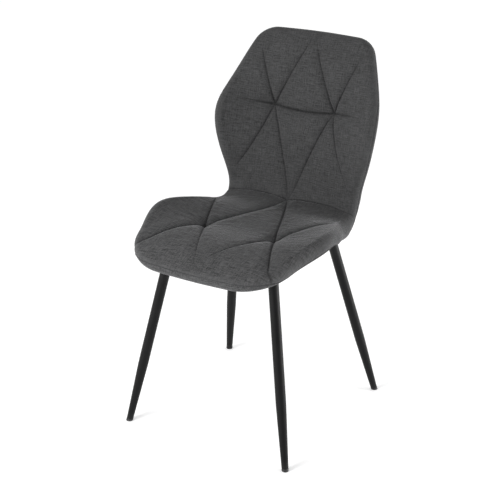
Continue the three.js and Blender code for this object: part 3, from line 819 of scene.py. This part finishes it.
rings, ring_weave = roll_over(rim, 1, rim_pulled, ROLL_FADE)
quilt_points, quilt_faces = add_rings(cover_points, sheet_faces, sheet_rim, rings)
quilt_weave = np.concatenate([sheet_points, *ring_weave])
quilt_seam = np.concatenate([seam_away, *[seam_away[sheet_rim]] * RINGS])
quilt_strength = np.concatenate([seam_strength, *[seam_strength[sheet_rim]] * RINGS])
round_the_edge = np.sin(math.pi / 2 * np.minimum(1, np.arange(1, RINGS + 1) / ROLL_STEPS))
quilt_edge = np.concatenate([0 * seam_away, np.repeat(round_the_edge, rim.count)])
seam_vertices = sorted({i for e in seam_edges for i in e})

quilt = mesh_object("quilted_cover", quilt_points * MM, quilt_faces)


def puff(made):
    """Blows the cloth up between its pinned seams and edge, and keeps a capped part of the move."""
    group = made.vertex_groups.new(name="held")
    weight = np.full(len(made.data.vertices), HELD_FREE)
    weight[seam_vertices] = np.clip(HELD_SEAM + pulled[seam_vertices] / SEAM_HOLD_DEPTH, 0, 1)
    for k in range(RINGS):
        first = len(sheet_points) + k * rim.count
        weight[first : first + rim.count] = min(1, HELD_RIM + (1 - HELD_RIM) * (k + 1) / ROLL_STEPS)
    for value in np.unique(np.round(weight, 2)):
        group.add(np.nonzero(np.round(weight, 2) == value)[0].tolist(), float(value), "REPLACE")
    modifier = made.modifiers.new("cloth", "CLOTH")
    for key, value in CLOTH.items():
        setattr(modifier.settings, key, value)
    modifier.settings.effector_weights.gravity = 0
    modifier.collision_settings.use_collision = False
    modifier.collision_settings.use_self_collision = False
    modifier.point_cache.frame_start = 1
    modifier.point_cache.frame_end = SIM_FRAMES
    scene = bpy.context.scene
    start = coordinates(made.data)
    for step in range(1, SIM_FRAMES + 1):
        scene.frame_set(step)
    graph = bpy.context.evaluated_depsgraph_get()
    moved = coordinates(made.evaluated_get(graph).to_mesh()) - start
    made.modifiers.clear()
    made.vertex_groups.clear()
    scene.frame_set(1)
    size = np.linalg.norm(moved, axis=1, keepdims=True) / MM
    moved *= np.tanh(size / CLOTH_CAP) * CLOTH_CAP / np.maximum(size, 1e-6)
    made.data.vertices.foreach_set("co", (start + moved).astype(np.float32).ravel())
    made.data.update()


puff(quilt)

set_cloth_attributes(quilt, quilt_weave, quilt_seam, quilt_strength, quilt_edge)
base_points = coordinates(quilt.data) / MM
base_normals = read(quilt.data.vertex_normals, "vector")

bm = bmesh.new()
bm.from_mesh(quilt.data)
bm.verts.ensure_lookup_table()
crease = bm.edges.layers.float.new("crease_edge")
for a, b in seam_edges:
    edge = bm.edges.get((bm.verts[a], bm.verts[b]))
    if edge is not None:
        edge[crease] = SEAM_CREASE
        edge.seam = True
bmesh.ops.join_triangles(
    bm, faces=bm.faces[:], cmp_seam=True, angle_face_threshold=JOIN_ANGLE, angle_shape_threshold=JOIN_ANGLE
)
bm.to_mesh(quilt.data)
bm.free()
smooth_and_thicken(quilt, FRONT_FABRIC)
finish_piece(quilt, seat_cloth, "seat_fabric", "front_cover")

# ---- Foam under the quilt ----


FOAM_ANGLES = [70, 48, 26, 4, -15, -30]
FOAM_SPLIT = 3


def foam_pieces():
    """Seat foam and back foam: their tops follow the quilt's underside, seams included."""
    count = len(sheet_points)
    top = base_points[:count] - base_normals[:count] * (FRONT_FABRIC + 2 * GAP)
    bottom = above(*sheet_points.T, PLY_FRONT + GAP)
    outer, inner = [], []
    for a in FOAM_ANGLES:
        inset = 2.2 + 1.1 * smooth(90 - a, 0, 45) + 0.8 * rim_pulled + 0.1 * rim.swell(a)
        outer.append(rim.roll(a, inset))
        # The inside runs round the plywood's thin edge.
        share = smooth(90 - a, 20, 100)
        out = GAP + (PLY_EDGE + GAP) * min(1, 2 * share)
        height = PLY_FRONT + GAP + (PLY_BACK + PLY / 2 - PLY_FRONT - GAP) * share
        inner.append(rim.beside(out + 0 * rim.s, height + 0 * rim.s, 1))
    tops, faces = add_rings(top, sheet_faces, sheet_rim, outer)
    bottoms = np.concatenate([bottom, *inner])
    flat = np.concatenate([sheet_points, *[rim.places] * len(FOAM_ANGLES)])
    behind = np.array([flat[f, 1].mean() > crease_line(flat[f, 0].mean()) for f in faces])
    along = unit(mid(flat[:, 0], flat[:, 1] + STEP) - mid(flat[:, 0], flat[:, 1] - STEP))
    for name, node, chosen, side in (
        ("seat_pad_foam", "seat_foam", ~behind, -1),
        ("back_pad_foam", "back_foam", behind, 1),
    ):
        near = np.abs(flat[:, 1] - crease_line(flat[:, 0])) < FOAM_SPLIT
        shift = along * (side * GAP / 2 * near)[:, None]
        own = [faces[i] for i in np.nonzero(chosen)[0]]
        made = slab(name, (tops + shift) * MM, (bottoms + shift) * MM, own)
        sharpen(made, 50)
        finish_piece(made, foam_material, "foam", node)


foam_pieces()

# ---- The rear cover ----

REAR_SPACING = 7.0
REAR_SEAM_S, REAR_SEAM_BOW = 424.0, 10
REAR_SEAM_STRENGTH = 0.8
REAR_CRIMP = 1.5
# The cover may be drawn in by no more than the plywood under it allows.
REAR_SLACK = 1.3


def ripple(points, scale, seed):
    """Soft, repeatable waves from a few sines: the small unevenness of stretched cloth."""
    random = np.random.default_rng(seed)
    total = np.zeros(len(points))
    for _ in range(9):
        direction = random.uniform(0, 2 * math.pi)
        length = scale * random.uniform(0.6, 1.7)
        phase = random.uniform(0, 2 * math.pi)
        total += np.sin(2 * math.pi * (points @ [math.cos(direction), math.sin(direction)]) / length + phase)
    return total / 9


rear_rim = Rim(REAR_SPACING)
seam_x = np.linspace(-half_width(REAR_SEAM_S) + 2, half_width(REAR_SEAM_S) - 2, 200)
rear_line = np.stack([seam_x, REAR_SEAM_S + REAR_SEAM_BOW * (seam_x / 160) ** 2], -1)
rear_flat, rear_faces, rear_edge, _ = flat_sheet(rear_rim, REAR_SPACING, [rear_line])
rear_away = distance(rear_flat, rear_line)
rear_pull = REAR_CRIMP * np.clip(1 - rear_away / 3.0, 0, None) + 1.1 * np.exp(-((rear_away / 9) ** 2))
tension = np.exp(-((rear_flat[:, 1] - REAR_SEAM_S) / 90) ** 2)
rear_pull += (0.25 + 0.5 * tension) * ripple(rear_flat * [1, 2.2], 75, 5)
rear_pull = REAR_SLACK * np.tanh(rear_pull / REAR_SLACK)
rear_points = above(*rear_flat.T, -RIM + rear_pull - 0.25)
seam_beside = np.abs(rear_rim.s - rear_line[0, 1])
crimp = REAR_CRIMP * np.clip(1 - seam_beside / 4.0, 0, None)
rear_rings, rear_weave = roll_over(rear_rim, -1, crimp, 0)
rear_points, rear_faces = add_rings(rear_points, rear_faces, rear_edge, rear_rings)
rear = mesh_object("rear_cover", rear_points * MM, [list(reversed(f)) for f in rear_faces])
rear_seam = np.concatenate([rear_away, *[seam_beside] * len(rear_rings)])
set_cloth_attributes(rear, np.concatenate([rear_flat, *rear_weave]), rear_seam, REAR_SEAM_STRENGTH, 0)
smooth_and_thicken(rear, BACK_FABRIC)
finish_piece(rear, back_cloth, "back_fabric", "back_cover")

# ---- The cord in the seam between the covers ----

CORD_SPACING, CORD_SIDES = 3.0, 10
CORD_TWIST, TWIST_LENGTH = 0.05, 2.6
AWAY_FROM_SEAMS = 30.0


def welt_cord():
    """The cord, whose thickness waves a little as it would with a twist."""
    fine = Rim(CORD_SPACING)
    turn = np.radians(fine.seam)
    radius = RIM - WELT_SINK + fine.swell(fine.seam)
    run = np.concatenate([[0], np.cumsum(np.linalg.norm(np.diff(fine.centre, axis=0), axis=1))])
    rings = []
    weave = []
    for k in range(CORD_SIDES):
        around = 2 * math.pi * k / CORD_SIDES
        thick = WELT_RADIUS * (1 + CORD_TWIST * np.sin(run / TWIST_LENGTH + around))
        out = radius * np.cos(turn) + thick * math.cos(around)
        height = radius * np.sin(turn) + thick * math.sin(around)
        rings.append(fine.beside(out, height, np.clip(-np.sin(turn), 0, None)))
        weave.append(np.stack([WELT_RADIUS * around + 0 * run, run, 0 * run], -1))
    welt = closed_tube("welt_cord", np.array(rings).transpose(1, 0, 2))
    set_cloth_attributes(welt, np.array(weave).transpose(1, 0, 2).reshape(-1, 3), AWAY_FROM_SEAMS, 0, 0)
    finish_piece(welt, welt_cloth, "welt_fabric", "welt")


welt_cord()

# ---- Legs, plates, bolts and glides ----

TUBE_RADIUS, TUBE_WALL, TAPER_LENGTH, TUBE_END_RADIUS, TUBE_END_HEIGHT = 11.6, 1.5, 151.0, 7.7, 6.0
KNEE = 5.0
LEG_TOP_Z = 443.0
LEG_TOPS = {"front": (129.5, -157.5), "rear": (125.0, 102.0)}
PLATE_SOFTENING = 0.7
ROUND, BOLT_ROUND = 48, 36
BEAD, BEAD_POINTS, BEAD_SIDES, BEAD_SCALLOP = 1.7, 144, 8, 0.13
BOLT_HEAD, HEAD_HEIGHT, SHANK, PITCH, THREAD_DEPTH = 5.6, 3.4, 3.0, 1.0, 0.45
ACROSS_FLATS, SOCKET_DEPTH = 4.0, 2.0


def ring_about(origin, axes, radius, height, sides=ROUND):
    """A circle about a frame's third axis; the radius may differ from point to point."""
    around = np.arange(sides) * 2 * math.pi / sides
    e1, e2, e3 = axes
    across, up = (np.cos(around) * radius)[:, None] * e1, (np.sin(around) * radius)[:, None] * e2
    return origin + e3 * height + across + up


def cut_by(ring, direction, point, plane_normal):
    """Slides each point of a ring along a direction until it lies on a plane."""
    far = ((point - ring) @ plane_normal) / (direction @ plane_normal)
    return ring + far[:, None] * direction


def axes_along(direction, hint=(0.0, 1.0, 0.0)):
    e3 = unit(np.array(direction, float))
    e1 = unit(np.array(hint) - e3 * (np.array(hint) @ e3))
    return e1, np.cross(e3, e1), e3


def plate_frame(node):
    """(middle of the underside, the normal up through the shell) of a packed plate, in mm."""
    points = coordinates(frame["nodes"][node].data) / MM
    centre = points.mean(0)
    _, _, axes = np.linalg.svd(points - centre)
    up = axes[2] * np.sign(axes[2][2])
    low = ((points - centre) @ up).min()
    return centre + up * low, up


def softened(node, name, width):
    """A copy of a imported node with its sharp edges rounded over."""
    mesh = frame["nodes"][node].data.copy()
    mesh.name = name
    bm = bmesh.new()
    bm.from_mesh(mesh)
    bmesh.ops.remove_doubles(bm, verts=bm.verts[:], dist=1e-6)
    bmesh.ops.dissolve_limit(bm, angle_limit=math.radians(1), verts=bm.verts[:], edges=bm.edges[:])
    sharp = [e for e in bm.edges if len(e.link_faces) == 2 and e.calc_face_angle(0) > math.radians(40)]
    bmesh.ops.bevel(bm, geom=sharp, offset=width * MM, segments=2, affect="EDGES", profile=0.6)
    bm.to_mesh(mesh)
    bm.free()
    mesh.shade_smooth()
    made = new_object(name, mesh)
    sharpen(made, 30)
    return made


def leg_tube(label, foot, axes, length, under, up):
    """The tube: a straight cone, a soft knee and a straight length, cut off flush with its plate."""
    axis = axes[2]
    inner = TUBE_END_RADIUS - TUBE_WALL - GAP + 0.1
    cone = TAPER_LENGTH - TUBE_END_HEIGHT
    slope = (TUBE_RADIUS - TUBE_END_RADIUS) / cone
    profile = [
        (TUBE_END_HEIGHT + 8, inner), (TUBE_END_HEIGHT, inner),
        (TUBE_END_HEIGHT, TUBE_END_RADIUS - 0.5), (TUBE_END_HEIGHT + 0.5, TUBE_END_RADIUS),
    ]
    for height in np.linspace(30, TAPER_LENGTH - 16, 4):
        share = (height - TUBE_END_HEIGHT) / cone
        profile.append((height, TUBE_END_RADIUS + (TUBE_RADIUS - TUBE_END_RADIUS) * share))
    for d in (-KNEE, 0, KNEE):
        profile.append((TAPER_LENGTH + d, TUBE_RADIUS - slope * (KNEE - d) ** 2 / (4 * KNEE)))
    rings = [ring_about(foot, axes, r, h) for h, r in profile]
    for share in (0.35, 0.7):
        rings.append(ring_about(foot, axes, TUBE_RADIUS, TAPER_LENGTH + share * length * 0.6))
    rings.append(cut_by(ring_about(foot, axes, TUBE_RADIUS, 0), axis, under, up))
    leg = loft(f"leg_tube_{label}", rings)
    sharpen(leg)
    finish_piece(leg, leg_material, "leg_steel", f"leg_{label}")


def weld_bead(label, foot, axes, under, up):
    """Small overlapping scallops along the line where the tube meets the plate."""
    circle = ring_about(foot, axes, TUBE_RADIUS, 0, BEAD_POINTS)
    path = cut_by(circle, axes[2], under, up)
    away = unit(circle - foot)
    away = unit(away - up * (away @ up)[:, None])
    size = BEAD * (1 + BEAD_SCALLOP * np.abs(np.sin(np.arange(BEAD_POINTS) * math.pi / 4)))
    lines = []
    for k in range(BEAD_SIDES):
        around = 2 * math.pi * k / BEAD_SIDES
        out, down = size * math.cos(around) + 0.3, size * math.sin(around) + 0.2
        lines.append(path + away * out[:, None] - up * down[:, None])
    weld = closed_tube(f"weld_bead_{label}", np.array(lines).transpose(1, 0, 2), (1, 0, 3, 2))
    finish_piece(weld, leg_material, "leg_steel")


def glide_foot(label, foot, axes):
    """A moulded foot with a flat sole, a soft lower edge, a shoulder under the tube and a stem in it."""
    head = TUBE_END_RADIUS + 0.3
    stem = TUBE_END_RADIUS - TUBE_WALL - GAP
    level = np.array([0.0, 0.0, 1.0])
    rings = []
    for smaller, height in ((1.1, 0), (0.35, 0.35), (0, 1.2)):
        circle = ring_about(foot, axes, head - smaller, 0)
        rings.append(cut_by(circle, axes[2], foot + level * height, level))
    for height, r in (
        (5.0, head), (5.4, head - 0.25), (5.7, head - 0.8), (5.7, stem), (23.5, stem), (25.6, stem - 1),
    ):
        rings.append(ring_about(foot, axes, r, height))
    glide = loft(f"glide_foot_{label}", rings)
    sharpen(glide, 40)
    finish_piece(glide, glide_material, "glide_plastic", f"glide_{label}")


def socket_bolt(node, up):
    """A button-head bolt with a hexagon socket in its head and a threaded shank."""
    points = coordinates(frame["nodes"][node].data) / MM
    along = points @ up
    middle = points.mean(0) - up * (points.mean(0) @ up)
    low, high = along.min(), along.max()
    around = np.arange(BOLT_ROUND) * 2 * math.pi / BOLT_ROUND
    sixth = math.pi / 3
    hexagon = ACROSS_FLATS / 2 / np.cos((around + sixth / 2) % sixth - sixth / 2)
    profile = [
        (hexagon * 0.98, SOCKET_DEPTH), (hexagon, 0.15), (hexagon + 0.25, 0), (3.1, 0), (4.3, 0.45),
        (5.2, 1.2), (BOLT_HEAD, 2.3), (BOLT_HEAD, HEAD_HEIGHT - 0.25), (BOLT_HEAD - 0.25, HEAD_HEIGHT),
        (SHANK, HEAD_HEIGHT),
    ]
    height = HEAD_HEIGHT + 2
    while low + height < high - 1:
        profile += [(SHANK, height), (SHANK - THREAD_DEPTH, height + PITCH / 2)]
        height += PITCH
    profile.append((SHANK - 0.6, high - low))
    axes = axes_along(up)
    bolt = loft(f"socket_{node}", [ring_about(middle, axes, r, low + h, BOLT_ROUND) for r, h in profile])
    sharpen(bolt, 30)
    finish_piece(bolt, zinc_material, "fastener_steel", node)


def leg_assembly(label, foot, top):
    axes = axes_along(unit(top - foot))
    under, up = plate_frame(f"leg_plate_{label}")
    leg_tube(label, foot, axes, (top - foot) @ axes[2], under, up)
    plate = softened(f"leg_plate_{label}", f"mounting_plate_{label}", PLATE_SOFTENING)
    finish_piece(plate, leg_material, "leg_steel", f"leg_plate_{label}")
    weld_bead(label, foot, axes, under, up)
    glide_foot(label, foot, axes)
    for k in (1, 2, 3):
        socket_bolt(f"bolt_{label}_{k}", up)


for mount in frame["record"]["mounts"]:
    label = mount["name"].replace("floor_", "")
    row, hand = label.split("_")
    foot = np.array(mount["pos_m"], float) / MM
    top_x, top_y = LEG_TOPS[row]
    leg_assembly(label, foot, np.array([math.copysign(top_x, foot[0]), top_y, LEG_TOP_Z]))

for name, node in frame["nodes"].items():
    if name.startswith("tee_nut"):
        node.material_slots[0].material = zinc_material
frame["nodes"]["ply_shell"].material_slots[0].material = ply_material

# ---- Floor, light and camera ----


def studio_floor():
    """A pale, seamless studio floor."""
    n = Surface("studio_floor")
    place = n.place()
    color = n.tint(n.noise(place, 2.0, 2.0), (0.93, 0.93, 0.93), (0.95, 0.95, 0.95))
    # The floor behind the chair is lit a little more, as by a background light.
    glow = n.ramp(n.split(place)[1], 0.3, 4.0, 0.2, 0.34)
    n.surface(
        Base_Color=color, Roughness=0.9, Specular_IOR_Level=0.1,
        Emission_Color=(1.0, 1.0, 1.0), Emission_Strength=glow,
    )
    size = 60.0
    corners = [(-size, -size, 0), (size, -size, 0), (size, size, 0), (-size, size, 0)]
    floor = mesh_object("studio_floor", corners, [[0, 1, 2, 3]])
    floor.data.materials.append(n.material)


HORIZON_LIGHT, ZENITH_LIGHT = 1.15, 0.75
DARK_SIDE, DARK_SIDE_LIGHT = (0.52, -0.8, 0.3), 0.45


def studio_world():
    """White light, weaker overhead and from one fixed side."""
    world = bpy.data.worlds.new("studio")
    world.use_nodes = True
    n = Nodes(world.node_tree)
    way = n.place("Generated")
    toward = n.add("ShaderNodeVectorMath", operation="DOT_PRODUCT")
    n.put(toward.inputs[0], way)
    n.put(toward.inputs[1], DARK_SIDE)
    overhead = n.ramp(n.split(way)[2], 0.0, 1.0, HORIZON_LIGHT, ZENITH_LIGHT)
    aside = n.ramp(toward.outputs["Value"], 0.1, 0.95, 1.0, DARK_SIDE_LIGHT, "SMOOTHSTEP")
    background = n.tree.nodes["Background"]
    n.put(background.inputs[0], (1, 1, 1))
    n.put(background.inputs[1], n.times(overhead, aside))
    bpy.context.scene.world = world


def aimed(name, data, place, target):
    """An object at a place which looks at a target."""
    made = new_object(name, data)
    made.location = place
    made.rotation_euler = (target - place).to_track_quat("-Z", "Y").to_euler()
    return made


def area_light(name, place, target, size, power):
    data = bpy.data.lights.new(name, "AREA")
    data.shape = "SQUARE"
    data.size = size
    data.energy = power
    aimed(name, data, Vector(place), Vector(target))


CAMERA_TARGET = Vector((0, -0.070, 0.4431))
CAMERA_DISTANCE, CAMERA_AZIMUTH, CAMERA_ELEVATION = 2.9277, 31.72, 22.15
CAMERA_LENS, CAMERA_SENSOR, CAMERA_SHIFT = 94.0, 36.0, (0.0154, -0.01822)


def camera():
    azimuth, elevation = math.radians(CAMERA_AZIMUTH), math.radians(CAMERA_ELEVATION)
    back = Vector((
        math.sin(azimuth) * math.cos(elevation),
        -math.cos(azimuth) * math.cos(elevation),
        math.sin(elevation),
    ))
    data = bpy.data.cameras.new("camera")
    data.lens = CAMERA_LENS
    data.sensor_width = CAMERA_SENSOR
    data.shift_x, data.shift_y = CAMERA_SHIFT
    place = CAMERA_TARGET + back * CAMERA_DISTANCE
    bpy.context.scene.camera = aimed("camera", data, place, CAMERA_TARGET)


studio_floor()
studio_world()
area_light("key_light", (-0.8, -2.1, 1.25), (0, -0.05, 0.5), 1.1, 46)
area_light("side_light", (2.2, 1.1, 0.3), (0.1, 0, 0.45), 1.0, 54)
bpy.context.scene.view_settings.view_transform = "Standard"
camera()
